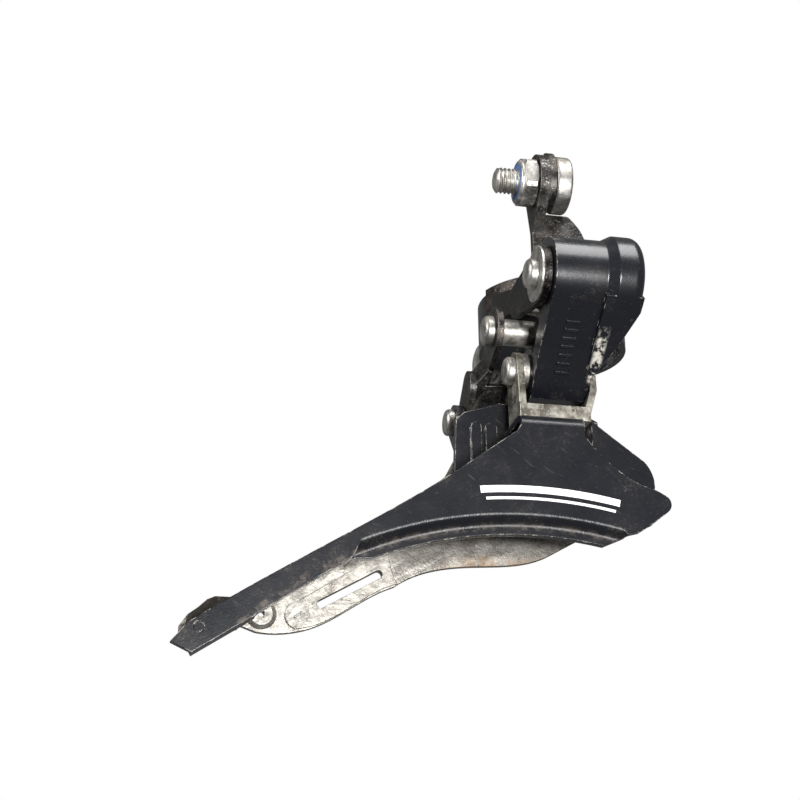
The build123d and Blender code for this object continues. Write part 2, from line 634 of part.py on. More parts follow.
def cage_outer_plate():
    """Outer cage plate with its chain step, its folded top and its turned tail edge."""
    inside = OUTER_Y + SHEET
    plate = along_y(outer_plate_face(), OUTER_Y, inside)
    plate += chain_step()
    plate += along_y(step_end(), OUTER_Y, inside + STEP_IN)
    plate += along_x(tab_profile(), TAB_X)
    lip = make_face(Polyline((-77.4, -82.9), (-67.0, -76.15), (-67.8, -75.0), (-78.1, -81.6), close=True))
    plate += along_y(lip, OUTER_Y, OUTER_Y + 3.2)
    for x in TAB_RIVETS_X:
        plate -= rod_z(-40, -34, x, TAB_RIVET_Y, RIVET_R + SNUG)
        plate -= rod_y(-35, -29, x, CAGE_RIVET_Z, RIVET_R + SNUG)
    plate -= rod_y(OUTER_Y - 1, OUTER_Y + 3, *TAIL_RIVET, TAIL_RIVET_R + SNUG)
    return plate


def link_yoke():
    """U-shaped yoke riveted on the folded top, with the eyes for pivot B."""
    eye = hull((B_Y, B_Z, B_EYE_R), (-38.3, TAB_TOP + 1.2, 1.0), (-32.6, TAB_TOP + 1.2, 1.0))
    base_y = (-39.3, -31.7)
    base = Pos(sum(base_y) / 2, TAB_TOP + SNUG + SHEET / 2) * Rectangle(base_y[1] - base_y[0], SHEET)
    slant = make_face(Polyline(
        (YOKE_FRONT[0], -18), (YOKE_FRONT[1], -18), (YOKE_FRONT[1], -29.8), (YOKE_FOOT[1], -34.9),
        (YOKE_FOOT[1], TAB_TOP), (YOKE_FOOT[0], TAB_TOP), (YOKE_FOOT[0], -34.9), (YOKE_FRONT[0], -29.8),
        close=True,
    ))
    lip = Pos(base_y[0] + SHEET / 2, TAB_TOP + SNUG + 1.4) * Rectangle(SHEET, 2.8)
    yoke = along_x(base, (YOKE_REAR[0], YOKE_FOOT[1])) + along_x(lip, (YOKE_REAR[0], YOKE_FOOT[1]))
    yoke += along_x(eye, YOKE_REAR)
    yoke += along_x(eye, (YOKE_FOOT[0], YOKE_FRONT[1])) & along_y(slant, -50, -20)
    yoke -= rod(-25, 5, B_Y, B_Z, OUTER_PIN_R + SNUG)
    yoke -= along_y(Pos(-12, -40) * Rectangle(40, 2 * (40 + TAB_TOP + SNUG)), -50, -20)
    for x in TAB_RIVETS_X:
        yoke -= rod_z(-40, -33, x, TAB_RIVET_Y, RIVET_R + SNUG)
    return yoke


def yoke_rivets():
    """Rivets through the yoke and the folded top of the outer plate."""
    rivets = []
    top = TAB_TOP + SHEET + 2 * SNUG
    for x in TAB_RIVETS_X:
        shank = rod_z(TAB_TOP - SHEET - 0.8, top + 0.7, x, TAB_RIVET_Y, RIVET_R)
        upper = rod_z(top, top + 0.7, x, TAB_RIVET_Y, 2.2)
        lower = rod_z(TAB_TOP - SHEET - 0.8, TAB_TOP - SHEET - SNUG, x, TAB_RIVET_Y, 2.2)
        rivets.append(shank + upper + lower)
    return rivets


def bracket_web():
    """Web of the cage bracket with its front wing, in (x, z)."""
    return make_face(
        Polyline((CAGE_WEB_REAR, -34.0), (-27.4, -32.4), (-20.6, -30.2), (-17.2, -30.4), (-16.4, -40.2),
                 (CAGE_EAR_FRONT[0], -40.2), (CAGE_EAR_FRONT[0], -32.4))
        + Spline((CAGE_EAR_FRONT[0], -32.4), (2.5, -36.2), (7.6, -40.0))
        + ThreePointArc((7.6, -40.0), (9.0, -42.2), (9.4, -45.6))
        + Polyline((9.4, -45.6), (9.2, -50.4), (-29.4, -50.4), (-29.6, -46.4), (CAGE_WEB_REAR, -34.0))
    )


def cage_bracket():
    """Pressed bracket on the inner plate, with the eyes for pivot D and two ribs."""
    web = along_y(bracket_web(), INNER_Y - WEB_T, INNER_Y)
    rear = hull((D_Y, D_Z, D_EYE_R), (-29.2, -33.5, 0.7), (-29.2, -46.5, 0.7))
    front = hull((D_Y, D_Z, D_EYE_R), (-29.2, -33.0, 0.7), (-29.2, -39.5, 0.7))
    plan = make_face(Polyline(
        (CAGE_WEB_REAR, -30.2), (CAGE_WEB_REAR + SHEET, -30.2), (CAGE_EAR_REAR[1], -24.2),
        (CAGE_EAR_REAR[1], -14), (CAGE_EAR_REAR[0], -14), (CAGE_EAR_REAR[0], -24.4), close=True,
    ))
    bracket = web + along_x(front, CAGE_EAR_FRONT)
    bracket += along_x(rear, (CAGE_WEB_REAR, CAGE_EAR_REAR[1])) & along_z(plan, -60, -20)
    for x, width in ((-25.3, 2.0), (-22.4, 2.2)):
        rib = Pos(x, -39.6) * SlotOverall(10.4, width, rotation=90)
        bracket += along_y(rib, INNER_Y - WEB_T - 0.6, INNER_Y - WEB_T + 0.1)
    bracket -= Pos(-10, INNER_Y + 5, -51) * Box(44, 10, 20)
    bracket -= rod(-35, 5, D_Y, D_Z, INNER_PIN_R + SNUG)
    for x, z in cage_rivet_spots():
        bracket -= rod_y(-35, -27, x, z, RIVET_R + SNUG)
    return bracket


def cage_rivet_spots():
    """Places of the rivets that join the outer plate, the bracket and the inner plate."""
    return [(x, CAGE_RIVET_Z) for x in TAB_RIVETS_X] + list(WING_RIVETS)


def cage_rivets():
    """Rivets along Y through the bracket and the inner plate."""
    rivets = []
    inner_face = INNER_Y + INNER_T + 2 * SNUG
    for index, (x, z) in enumerate(cage_rivet_spots()):
        outer_face = -31.33 if index < len(TAB_RIVETS_X) else INNER_Y - WEB_T - SNUG
        shank = rod_y(outer_face - 0.7, inner_face + 0.7, x, z, RIVET_R)
        near = rod_y(outer_face - 0.7, outer_face, x, z, 2.3)
        far = rod_y(inner_face, inner_face + 0.7, x, z, 2.3)
        rivets.append(shank + near + far)
    return rivets


def inner_plate_face():
    """Inner cage plate, in (x, z)."""
    return make_face(
        Polyline((9.0, -46.0), (9.0, -52.0), (3.5, -54.6), (-5.0, -55.4), (-11.9, -59.3))
        + Spline((-11.9, -59.3), (-16.0, -60.8), (-26.0, -61.9), (-33.7, -63.1), (-40.7, -66.4))
        + Spline((-40.7, -66.4), (-47.8, -70.2), (-55.6, -74.6), (-60.0, -75.7), (-65.5, -75.7))
        + Polyline((-65.5, -75.7), (-68.5, -74.6), (-70.5, -72.0), (-69.5, -69.6), (-62.0, -65.6))
        + Spline((-62.0, -65.6), (-50.0, -59.0), (-39.0, -51.5), (-31.0, -45.0))
        + Polyline((-31.0, -45.0), (-29.0, -41.2), (6.0, -41.2), (9.0, -46.0))
    )


def slot_pad():
    """Raised field round the slot of the inner plate, in (x, z)."""
    return make_face(
        Spline((-41.8, -59.6), (-41.6, -62.6), (-40.3, -66.0))
        + Spline((-40.3, -66.0), (-47.8, -70.0), (-55.4, -74.3), (-58.6, -75.0))
        + ThreePointArc((-58.6, -75.0), (-60.4, -72.8), (-58.4, -70.2))
        + Line((-58.4, -70.2), (-41.8, -59.6))
    )


def tail_wall():
    """Tail of the inner plate, turned outboard to meet the outer plate."""
    foot = OUTER_Y + SHEET + SNUG
    strip = make_face(Polyline(
        (-68.6, INNER_Y + INNER_T), (-70.1, INNER_Y + INNER_T), (-79.6, -39.1), (-79.6, foot),
        (-74.6, foot), (-74.6, foot + 1.19), (-78.4, foot + 1.19), (-69.4, INNER_Y + SNUG),
        (-68.6, INNER_Y + SNUG), close=True,
    ))
    side = make_face(Polyline(
        (-66.0, -68.0), (-70.0, -69.9), (-73.1, -70.9), (-74.6, -72.0), (-76.3, -74.0), (-78.1, -75.8),
        (-79.6, -78.0), (-80.5, -79.0), (-79.6, -80.6), (-78.2, -81.0), (-74.4, -78.4), (-69.0, -75.4),
        (-66.0, -74.6), close=True,
    ))
    above_foot = make_face(Polyline(
        (-82.0, -79.6), (-78.4, -78.0), (-74.0, -75.6), (-74.0, -65.0), (-82.0, -65.0), close=True))
    return (along_z(strip, -90, -60) & along_y(side, -50, -20)) - along_y(above_foot, OUTER_Y, foot + 1.25)


def cage_inner_plate():
    """Inner cage plate with its raised slot field, its dimple and its turned tail."""
    plate = along_y(inner_plate_face(), INNER_Y + SNUG, INNER_Y + INNER_T)
    plate += along_y(slot_pad(), INNER_Y - 0.6, INNER_Y + 0.3)
    plate += tail_wall()
    slope = math.degrees(math.atan2(6.0, 10.5))
    slot = Pos(-48.9, -67.4) * SlotOverall(13.4, 1.5, rotation=slope)
    plate -= along_y(slot, INNER_Y - 2, INNER_Y + 3)
    dimple = rod_y(INNER_Y - 0.8, INNER_Y + 0.2, -64.6, -72.6, 2.7)
    dimple = chamfer(dimple.edges().filter_by(GeomType.CIRCLE).sort_by(Axis.Y)[0], 0.7)
    plate += dimple
    plate -= rod_y(INNER_Y - 2, INNER_Y + 3, -64.6, -72.6, 0.6)
    for x, z in cage_rivet_spots():
        plate -= rod_y(-35, -26, x, z, RIVET_R + SNUG)
    plate -= rod_y(OUTER_Y, OUTER_Y + 5, *TAIL_RIVET, TAIL_RIVET_R + SNUG)
    return plate


def tail_rivet():
    """Rivet that joins the two plates at the tail, flush on the outside."""
    x, z = TAIL_RIVET
    inner = OUTER_Y + SHEET + 1.2 + 2 * SNUG
    return rod_y(OUTER_Y + 0.05, inner + 0.6, x, z, TAIL_RIVET_R) + rod_y(inner, inner + 0.6, x, z, 1.35)


# ---------------------------------------------------------------- nodes

save("clamp_band", clamp_band())
save("clamp_strap", clamp_strap())
save("clamp_hinge_pin", clamp_hinge_pin())
save("clamp_bolt", clamp_bolt())
save("clamp_washer", clamp_washer())
save("clamp_nut", clamp_nut())
save("fixed_bracket", fixed_bracket())
save("band_rivets", Compound(children=band_rivets()))
save("limit_screw_low", limit_screw(SCREW_LOW_X, 12.0))
save("limit_screw_high", limit_screw(SCREW_HIGH_X, 9.0))
save("outer_pivot_pin", pin_with_heads(
    BRACKET_REAR[0] - 0.44, BRACKET_FRONT[1] - 0.2, A_Y, A_Z, OUTER_PIN_R, (2.8, 1.8), (2.0, 0.1)))
save("outer_pivot_washer", washer(
    BRACKET_REAR[0] - 0.42, BRACKET_REAR[0] - SNUG, A_Y, A_Z, 5.2, OUTER_PIN_R + SNUG))
save("inner_pivot_pin", pin_with_heads(
    INNER_REAR_TOP[0] - 0.1, BRACKET_FRONT[1] + SNUG, C_Y, C_Z, INNER_PIN_R, (2.9, 1.8), (2.8, 1.0)))
save("inner_pivot_sleeve", inner_pivot_sleeve())
save("return_spring", return_spring())
save("outer_link", outer_link())
save("outer_link_bushes", Compound(children=outer_link_bushes()))
save("cable_arm", cable_arm())
save("cable_arm_rivets", Compound(children=arm_rivets()))
save("cable_anchor_bolt", anchor_bolt())
save("cable_clamp_plate", cable_plate())
save("cable_anchor_nut", anchor_nut())
save("nut_nylon_ring", nut_ring())
save("inner_link", inner_link())
save("cage_pin_outer", pin_with_heads(
    YOKE_REAR[0] - SNUG, YOKE_FRONT[1] - 0.1, B_Y, B_Z, OUTER_PIN_R, (2.7, 1.6), (2.0, 0.1)))
save("cage_pin_inner", pin_with_heads(
    CAGE_EAR_REAR[0] - SNUG, CAGE_EAR_FRONT[1] + SNUG, D_Y, D_Z, INNER_PIN_R, (2.6, 1.6), (2.6, 1.0)))
save("cage_pin_washer", washer(
    YOKE_REAR[1] + SNUG, LINK_BODY[0] - 0.4, B_Y, B_Z, 3.5, OUTER_PIN_R + RUNNING))
save("link_yoke", link_yoke())
save("yoke_rivets", Compound(children=yoke_rivets()))
save("cage_outer_plate", cage_outer_plate())
save("cage_bracket", cage_bracket())
save("cage_inner_plate", cage_inner_plate())
save("cage_rivets", Compound(children=cage_rivets()))
save("cage_tail_rivet", tail_rivet())
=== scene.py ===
import math

import bmesh
import bpy
from mathutils import Matrix, Vector


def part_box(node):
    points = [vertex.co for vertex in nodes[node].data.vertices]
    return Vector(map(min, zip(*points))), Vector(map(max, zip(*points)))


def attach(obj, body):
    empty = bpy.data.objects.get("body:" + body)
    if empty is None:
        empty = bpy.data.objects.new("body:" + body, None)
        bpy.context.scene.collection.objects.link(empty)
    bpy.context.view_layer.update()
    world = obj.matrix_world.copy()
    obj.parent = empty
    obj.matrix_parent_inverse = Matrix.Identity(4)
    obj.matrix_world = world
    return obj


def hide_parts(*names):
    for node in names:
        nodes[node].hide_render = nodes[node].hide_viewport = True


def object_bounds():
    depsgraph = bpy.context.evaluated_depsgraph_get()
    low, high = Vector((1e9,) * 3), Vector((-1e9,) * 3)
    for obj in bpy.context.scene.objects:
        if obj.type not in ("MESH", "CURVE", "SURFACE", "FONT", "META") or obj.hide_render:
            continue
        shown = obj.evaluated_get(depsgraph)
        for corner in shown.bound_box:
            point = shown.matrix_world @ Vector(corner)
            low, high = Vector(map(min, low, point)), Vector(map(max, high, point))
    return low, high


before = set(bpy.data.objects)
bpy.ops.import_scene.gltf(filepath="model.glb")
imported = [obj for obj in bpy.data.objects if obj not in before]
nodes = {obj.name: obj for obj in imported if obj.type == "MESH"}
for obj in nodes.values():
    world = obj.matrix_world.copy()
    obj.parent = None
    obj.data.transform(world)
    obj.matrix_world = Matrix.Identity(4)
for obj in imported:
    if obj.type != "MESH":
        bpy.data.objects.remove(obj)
cad_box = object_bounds()

MM = 0.001

# Camera: where it looks from, and where the clamp bore sits in the view
AZIMUTH = -12.0
ELEVATION = -22.0
ROLL = 0.5
DISTANCE = 350 * MM
CLAMP_RIGHT = 32.47 * MM
CLAMP_UP = 14.84 * MM
LENS = 73.24

# Cage curve, as in the CAD model
ARC_X = -18.5 * MM
ARC_Z = -132.8 * MM
BEND_R = 76.0 * MM
LEAN = math.radians(46.4)


# ---------------------------------------------------------------- node helpers

class Nodes:
    """Short calls for building one material's node tree."""

    def __init__(self, name):
        self.material = bpy.data.materials.new(name)
        self.material.use_nodes = True
        self.tree = self.material.node_tree
        self.shader = self.tree.nodes["Principled BSDF"]
        self.place = self.new("ShaderNodeTexCoord").outputs["Object"]

    def new(self, kind, **values):
        node = self.tree.nodes.new(kind)
        for key, value in values.items():
            setattr(node, key, value)
        return node

    def put(self, value, socket):
        """Link a socket, or set a plain value."""
        if isinstance(value, bpy.types.NodeSocket):
            self.tree.links.new(value, socket)
        else:
            socket.default_value = value

    def math(self, operation, a, b=0.0, clamp=False):
        node = self.new("ShaderNodeMath", operation=operation, use_clamp=clamp)
        self.put(a, node.inputs[0])
        self.put(b, node.inputs[1])
        return node.outputs[0]

    def scaled(self, factors):
        """Object coordinates stretched by three factors."""
        node = self.new("ShaderNodeVectorMath", operation="MULTIPLY")
        self.put(self.place, node.inputs[0])
        node.inputs[1].default_value = factors
        return node.outputs[0]

    def turned(self, angles, factors):
        """Object coordinates turned, then stretched."""
        node = self.new("ShaderNodeMapping")
        self.put(self.place, node.inputs["Vector"])
        node.inputs["Rotation"].default_value = angles
        stretch = self.new("ShaderNodeVectorMath", operation="MULTIPLY")
        self.put(node.outputs[0], stretch.inputs[0])
        stretch.inputs[1].default_value = factors
        return stretch.outputs[0]

    def noise(self, per_metre, detail=4.0, roughness=0.6, where=None, distortion=0.0):
        node = self.new("ShaderNodeTexNoise")
        self.put(where or self.place, node.inputs["Vector"])
        node.inputs["Scale"].default_value = per_metre
        node.inputs["Detail"].default_value = detail
        node.inputs["Roughness"].default_value = roughness
        node.inputs["Distortion"].default_value = distortion
        return node.outputs["Fac"]

    def step(self, value, low, high):
        """0 below low and 1 above high, smooth between; low may be the larger."""
        node = self.new("ShaderNodeMapRange", interpolation_type="SMOOTHSTEP")
        self.put(value, node.inputs["Value"])
        if low < high:
            limits = (low, high, 0.0, 1.0)
        else:
            limits = (high, low, 1.0, 0.0)
        for index, limit in enumerate(limits):
            node.inputs[index + 1].default_value = limit
        return node.outputs["Result"]

    def mix(self, share, a, b):
        """Colour a turning to colour b."""
        node = self.new("ShaderNodeMix", data_type="RGBA")
        self.put(share, node.inputs["Factor"])
        for value, socket in ((a, node.inputs["A"]), (b, node.inputs["B"])):
            self.put(value if isinstance(value, bpy.types.NodeSocket) else (*value, 1.0), socket)
        return node.outputs["Result"]

    def blend(self, share, a, b):
        """Number a turning to number b."""
        node = self.new("ShaderNodeMix", data_type="FLOAT")
        self.put(share, node.inputs["Factor"])
        self.put(a, node.inputs["A"])
        self.put(b, node.inputs["B"])
        return node.outputs["Result"]

    def axis(self, index):
        """One object coordinate."""
        node = self.new("ShaderNodeSeparateXYZ")
        self.put(self.place, node.inputs[0])
        return node.outputs[index]

    def edges(self, radius):
        """High where a corner of the solid is within the radius."""
        bevel = self.new("ShaderNodeBevel", samples=6)
        bevel.inputs["Radius"].default_value = radius
        plain = self.new("ShaderNodeNewGeometry")
        dot = self.new("ShaderNodeVectorMath", operation="DOT_PRODUCT")
        self.put(bevel.outputs[0], dot.inputs[0])
        self.put(plain.outputs["Normal"], dot.inputs[1])
        return self.math("SUBTRACT", 1.0, dot.outputs["Value"])

    def bump(self, height, depth, soften=0.0):
        """Bump of a given depth in metres, with optional softened corners."""
        node = self.new("ShaderNodeBump")
        node.inputs["Distance"].default_value = depth
        self.put(height, node.inputs["Height"])
        if soften:
            bevel = self.new("ShaderNodeBevel", samples=6)
            bevel.inputs["Radius"].default_value = soften
            self.put(bevel.outputs[0], node.inputs["Normal"])
        self.put(node.outputs[0], self.shader.inputs["Normal"])

    def arc_radius(self):
        """Distance from the centre of the cage curve."""
        across = self.math("SUBTRACT", self.axis(0), ARC_X)
        up = self.math("SUBTRACT", self.axis(2), ARC_Z)
        squares = self.math("ADD", self.math("MULTIPLY", across, across), self.math("MULTIPLY", up, up))
        return self.math("SQRT", squares)


# ---------------------------------------------------------------- materials

PAINT = (0.0045, 0.005, 0.0075)
PAINT_WORN = (0.030, 0.029, 0.028)
BARE = (0.55, 0.52, 0.46)
DUST = (0.30, 0.25, 0.19)
# BROWN: dirt stain on bare metal; on the outer plate it is the painted brown reflection of the table along
# the bend.
BROWN = (0.105, 0.072, 0.045)


def black_enamel(name, grime_and_reflection=None, wear=1.0, bare=None):
    """Glossy black paint with scuffs, dust, chipped corners, and places for a brown overlay (on the outer
    plate a painted reflection of the table) and bare metal.
    """
    m = Nodes(name)
    scuff = m.step(m.noise(900, 5.0, 0.7, m.turned((0.0, 0.5, 0.0), (1.0, 1.0, 7.0))), 0.60, 0.72)
    scratch = m.step(m.noise(1500, 4.0, 0.6, m.turned((0.0, -0.6, 0.2), (0.12, 1.0, 1.6)), 0.8), 0.64, 0.72)
    cloud = m.noise(160, 4.0, 0.6)
    colour = m.mix(m.math("MULTIPLY", scuff, 0.35), PAINT, PAINT_WORN)
    colour = m.mix(m.math("MULTIPLY", scratch, 0.22), colour, (0.14, 0.135, 0.13))
    dust = m.math("MULTIPLY", m.step(cloud, 0.50, 0.75), m.step(m.noise(3200, 3.0, 0.7), 0.50, 0.72))
    colour = m.mix(m.math("MULTIPLY", dust, 0.30), colour, DUST)
    chip_place = m.step(m.noise(520, 4.0, 0.7), 0.50, 0.62)
    chips = m.math("MULTIPLY", m.step(m.edges(0.35 * MM), 0.05, 0.22), chip_place)
    chips = m.math("MULTIPLY", chips, wear)
    if bare:
        chips = m.math("MAXIMUM", chips, bare(m))
    colour = m.mix(chips, colour, BARE)
    rough = m.blend(cloud, 0.20, 0.36)
    rough = m.blend(scuff, rough, 0.55)
    # Brown overlay: on the outer plate this is a painted reflection of the table in the bend, not dirt.
    if grime_and_reflection:
        share = grime_and_reflection(m)
        colour = m.mix(share, colour, BROWN)
        rough = m.blend(share, rough, 0.8)
    m.put(colour, m.shader.inputs["Base Color"])
    m.put(rough, m.shader.inputs["Roughness"])
    m.shader.inputs["Specular IOR Level"].default_value = 0.5
    m.shader.inputs["Coat Weight"].default_value = 0.12
    m.shader.inputs["Coat Roughness"].default_value = 0.12
    height = m.math("ADD", m.math("MULTIPLY", m.noise(2600, 2.0, 0.5), 0.5), m.math("MULTIPLY", chips, -0.6))
    m.bump(height, 0.03 * MM, 0.3 * MM)
    return m.material


def plate_bend_reflection(m):
    """Painted brown reflection of the table, patchy, in the bend of the outer plate near its lower edge."""
    radius = m.arc_radius()
    ring = m.math("MULTIPLY", m.step(radius, BEND_R + 0.1 * MM, BEND_R - 0.8 * MM),
                  m.step(radius, BEND_R - 1.9 * MM, BEND_R - 1.0 * MM))
    patchy = m.step(m.noise(420, 5.0, 0.75), 0.42, 0.68)
    return m.math("MULTIPLY", m.math("MULTIPLY", ring, patchy), 0.6)


def link_wear(m):
    """Patch rubbed bare where the front cheek of the outer link stands out."""
    across = m.math("ABSOLUTE", m.math("SUBTRACT", m.axis(0), -5.3 * MM))
    along = m.math("ABSOLUTE", m.math("SUBTRACT", m.axis(2), -25.5 * MM))
    place = m.math("MULTIPLY", m.step(across, 1.3 * MM, 0.5 * MM), m.step(along, 4.2 * MM, 2.6 * MM))
    return m.math("MULTIPLY", place, m.step(m.noise(500, 4.0, 0.7), 0.42, 0.56))


def metal(name, base, dark, light, rough, grime_and_reflection=0.3, pits=0.02, stain=BROWN):
    """Bare metal with mottled oxide, specks, dirt and a painted highlight on its edges."""
    m = Nodes(name)
    cloud = m.noise(380, 5.0, 0.65)
    speck = m.noise(2600, 3.0, 0.7)
    colour = m.mix(m.step(cloud, 0.38, 0.66), dark, base)
    colour = m.mix(m.step(speck, 0.56, 0.72), colour, light)
    dirt = m.math("MULTIPLY", m.step(m.noise(300, 5.0, 0.7, None, 0.4), 0.50, 0.68), grime_and_reflection)
    colour = m.mix(dirt, colour, stain)
    # Painted edge highlight: every corner is lightened towards the light colour.
    edge = m.step(m.edges(0.3 * MM), 0.06, 0.3)
    colour = m.mix(m.math("MULTIPLY", edge, 0.55), colour, light)
    m.put(colour, m.shader.inputs["Base Color"])
    m.put(m.blend(dirt, m.blend(cloud, rough - 0.08, rough + 0.12), 0.85), m.shader.inputs["Roughness"])
    m.put(m.blend(dirt, 1.0, 0.2), m.shader.inputs["Metallic"])
    m.bump(m.math("ADD", speck, m.math("MULTIPLY", cloud, 0.5)), pits * MM, 0.18 * MM)
    return m.material


def stained_zinc():
    """Dull zinc of the inner plate, darker near the bend and rusty along its lower edge."""
    m = Nodes("stained_zinc_finish")
    radius = m.arc_radius()
    cloud = m.noise(260, 6.0, 0.7, None, 0.6)
    fine = m.noise(1500, 4.0, 0.7)
    streak = m.noise(700, 4.0, 0.6, m.turned((0.0, 0.52, 0.0), (0.25, 1.0, 1.0)))
    colour = m.mix(m.step(cloud, 0.35, 0.68), (0.17, 0.16, 0.145), (0.42, 0.40, 0.36))
    colour = m.mix(m.math("MULTIPLY", m.step(streak, 0.52, 0.66), 0.6), colour, (0.60, 0.57, 0.52))
    dark = m.math("MULTIPLY", m.step(m.axis(0), -44 * MM, -38 * MM), m.step(radius, 70.5 * MM, 74.5 * MM))
    colour = m.mix(m.math("MULTIPLY", dark, 0.75), colour, (0.085, 0.08, 0.072))
    tail = m.math("MULTIPLY", m.step(m.axis(0), -69 * MM, -73 * MM), m.step(cloud, 0.30, 0.55))
    colour = m.mix(m.math("MULTIPLY", tail, 0.85), colour, (0.05, 0.042, 0.032))
    rust_place = m.step(radius, 74.0 * MM, 71.0 * MM)
    rust = m.math("MULTIPLY", rust_place, m.step(m.noise(420, 6.0, 0.75), 0.38, 0.62))
    rust = m.math("MULTIPLY", rust, m.step(m.axis(0), -36 * MM, -24 * MM))
    colour = m.mix(m.math("MULTIPLY", rust, 0.8), colour, (0.27, 0.15, 0.06))
    grime_and_reflection = m.math("MULTIPLY", m.step(fine, 0.50, 0.66), m.step(cloud, 0.66, 0.42))
    colour = m.mix(m.math("MULTIPLY", grime_and_reflection, 0.7), colour, (0.09, 0.075, 0.06))
    m.put(colour, m.shader.inputs["Base Color"])
    m.put(m.blend(rust, 0.9, 0.1), m.shader.inputs["Metallic"])
    m.put(m.blend(rust, m.blend(cloud, 0.32, 0.55), 0.85), m.shader.inputs["Roughness"])
    m.bump(m.math("ADD", fine, m.math("MULTIPLY", cloud, 1.4)), 0.05 * MM, 0.25 * MM)
    return m.material


def blue_nylon():
    """Dull blue plastic of the locking ring."""
    m = Nodes("blue_nylon_finish")
    colour = m.mix(m.noise(900, 4.0, 0.6), (0.03, 0.07, 0.22), (0.10, 0.20, 0.48))
    m.put(colour, m.shader.inputs["Base Color"])
    m.shader.inputs["Roughness"].default_value = 0.45
    m.bump(m.noise(2500, 2.0), 0.02 * MM)
    return m.material


def dress(names, material):
    """Give CAD nodes a finished material."""
    for name in names:
        mesh = nodes[name].data
        mesh.materials.clear()
        mesh.materials.append(material)


def dark_steel():
    """Dark oxidised steel of the links and the cable arm."""
    return metal("dark_steel_finish", base=(0.075, 0.072, 0.07), dark=(0.022, 0.02, 0.019),
                 light=(0.34, 0.33, 0.31), rough=0.38, grime_and_reflection=0.35, pits=0.05)


def bracket_steel():
    """Nearly black steel of the fixed bracket."""
    return metal("bracket_steel_finish", base=(0.035, 0.033, 0.032), dark=(0.012, 0.011, 0.01),
                 light=(0.20, 0.19, 0.18), rough=0.42, grime_and_reflection=0.35, pits=0.05)


def bright_zinc():
    """Plated steel of bolts, nuts, pins and washers."""
    return metal("bright_zinc_finish", base=(0.50, 0.49, 0.46), dark=(0.27, 0.26, 0.24),
                 light=(0.78, 0.76, 0.72), rough=0.40, grime_and_reflection=0.5, pits=0.03, stain=(0.14, 0.10, 0.06))


def yoke_zinc():
    """Worn, creamy plating of the link yoke."""
    return metal("yoke_zinc_finish", base=(0.46, 0.44, 0.38), dark=(0.13, 0.12, 0.10),
                 light=(0.72, 0.69, 0.62), rough=0.45, grime_and_reflection=0.6, pits=0.04, stain=(0.10, 0.08, 0.06))


def spring_steel():
    """Plain steel wire."""
    return metal("spring_steel_finish", base=(0.35, 0.34, 0.33), dark=(0.18, 0.17, 0.16),
                 light=(0.6, 0.6, 0.58), rough=0.35, grime_and_reflection=0.2, pits=0.02)


zinc = bright_zinc()
# Outer plate: black enamel with a painted brown table reflection along its bend.
dress(["cage_outer_plate", "cage_tail_rivet"], black_enamel("outer_plate_enamel", grime_and_reflection=plate_bend_reflection))
dress(["clamp_band", "clamp_strap", "cage_bracket"], black_enamel("black_enamel_finish"))
dress(["outer_link"], black_enamel("outer_link_enamel", bare=link_wear))
dress(["inner_link", "cable_arm", "cable_arm_rivets", "cable_clamp_plate"], dark_steel())
dress(["fixed_bracket", "band_rivets"], bracket_steel())
dress(["clamp_hinge_pin", "clamp_bolt", "clamp_washer", "clamp_nut"], zinc)
dress(["limit_screw_low", "limit_screw_high", "outer_link_bushes", "yoke_rivets"], zinc)
dress(["outer_pivot_pin", "outer_pivot_washer", "inner_pivot_pin", "inner_pivot_sleeve"], zinc)
dress(["cable_anchor_nut", "cage_pin_outer", "cage_pin_washer", "cage_pin_inner"], zinc)
dress(["link_yoke"], yoke_zinc())
dress(["return_spring"], spring_steel())
dress(["cage_inner_plate", "cage_rivets"], stained_zinc())
dress(["nut_nylon_ring"], blue_nylon())


# ---------------------------------------------------------------- added pieces

# Anchor bolt
THREAD_PITCH = 0.8 * MM
THREAD_DEPTH = 0.42 * MM
SHANK_R = 2.5 * MM
TIP_CHAMFER = 0.8 * MM
HEAD_RIM = 0.6 * MM
HEAD_GAP = 0.05 * MM
TURN_SEGMENTS = 64
RINGS_PER_PITCH = 8
RIM_STEPS = 5

# Stripes on the outer plate: (middle radius, width, start angle, end angle) on the cage curve
STRIPES = ((81.6, 1.3, -6.6, 11.6), (79.9, 0.5, -6.0, 11.2))
STRIPE_LIFT = 0.03 * MM
STRIPE_STEPS = 24

# Ribs on the outer link
RIB_COUNT = 7
RIB_FIRST = 6.4 * MM
RIB_SPACING = 1.75 * MM
RIB_SIZE = (3.0 * MM, 0.7 * MM, 0.3 * MM)
RIB_CORNER = 0.25 * MM
RIB_CORNER_STEPS = 3
RIB_TOP_SHRINK = 0.06
RIB_SINK = 0.04 * MM
RIB_X = -11.2 * MM
LINK_BOSS_R = 7.1 * MM
LINK_TAPER = 1.9 * MM
LINK_TAPER_END = 12 * MM


def finish_piece(shape, name, body, material, smooth=True):
    """Turn built geometry into a named piece that rides on a body."""
    bmesh.ops.recalc_face_normals(shape, faces=shape.faces)
    mesh = bpy.data.meshes.new(name)
    shape.to_mesh(mesh)
    shape.free()
    mesh.materials.append(material)
    if smooth:
        mesh.shade_smooth()
    piece = bpy.data.objects.new(name, mesh)
    bpy.context.scene.collection.objects.link(piece)
    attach(piece, body)
    return piece


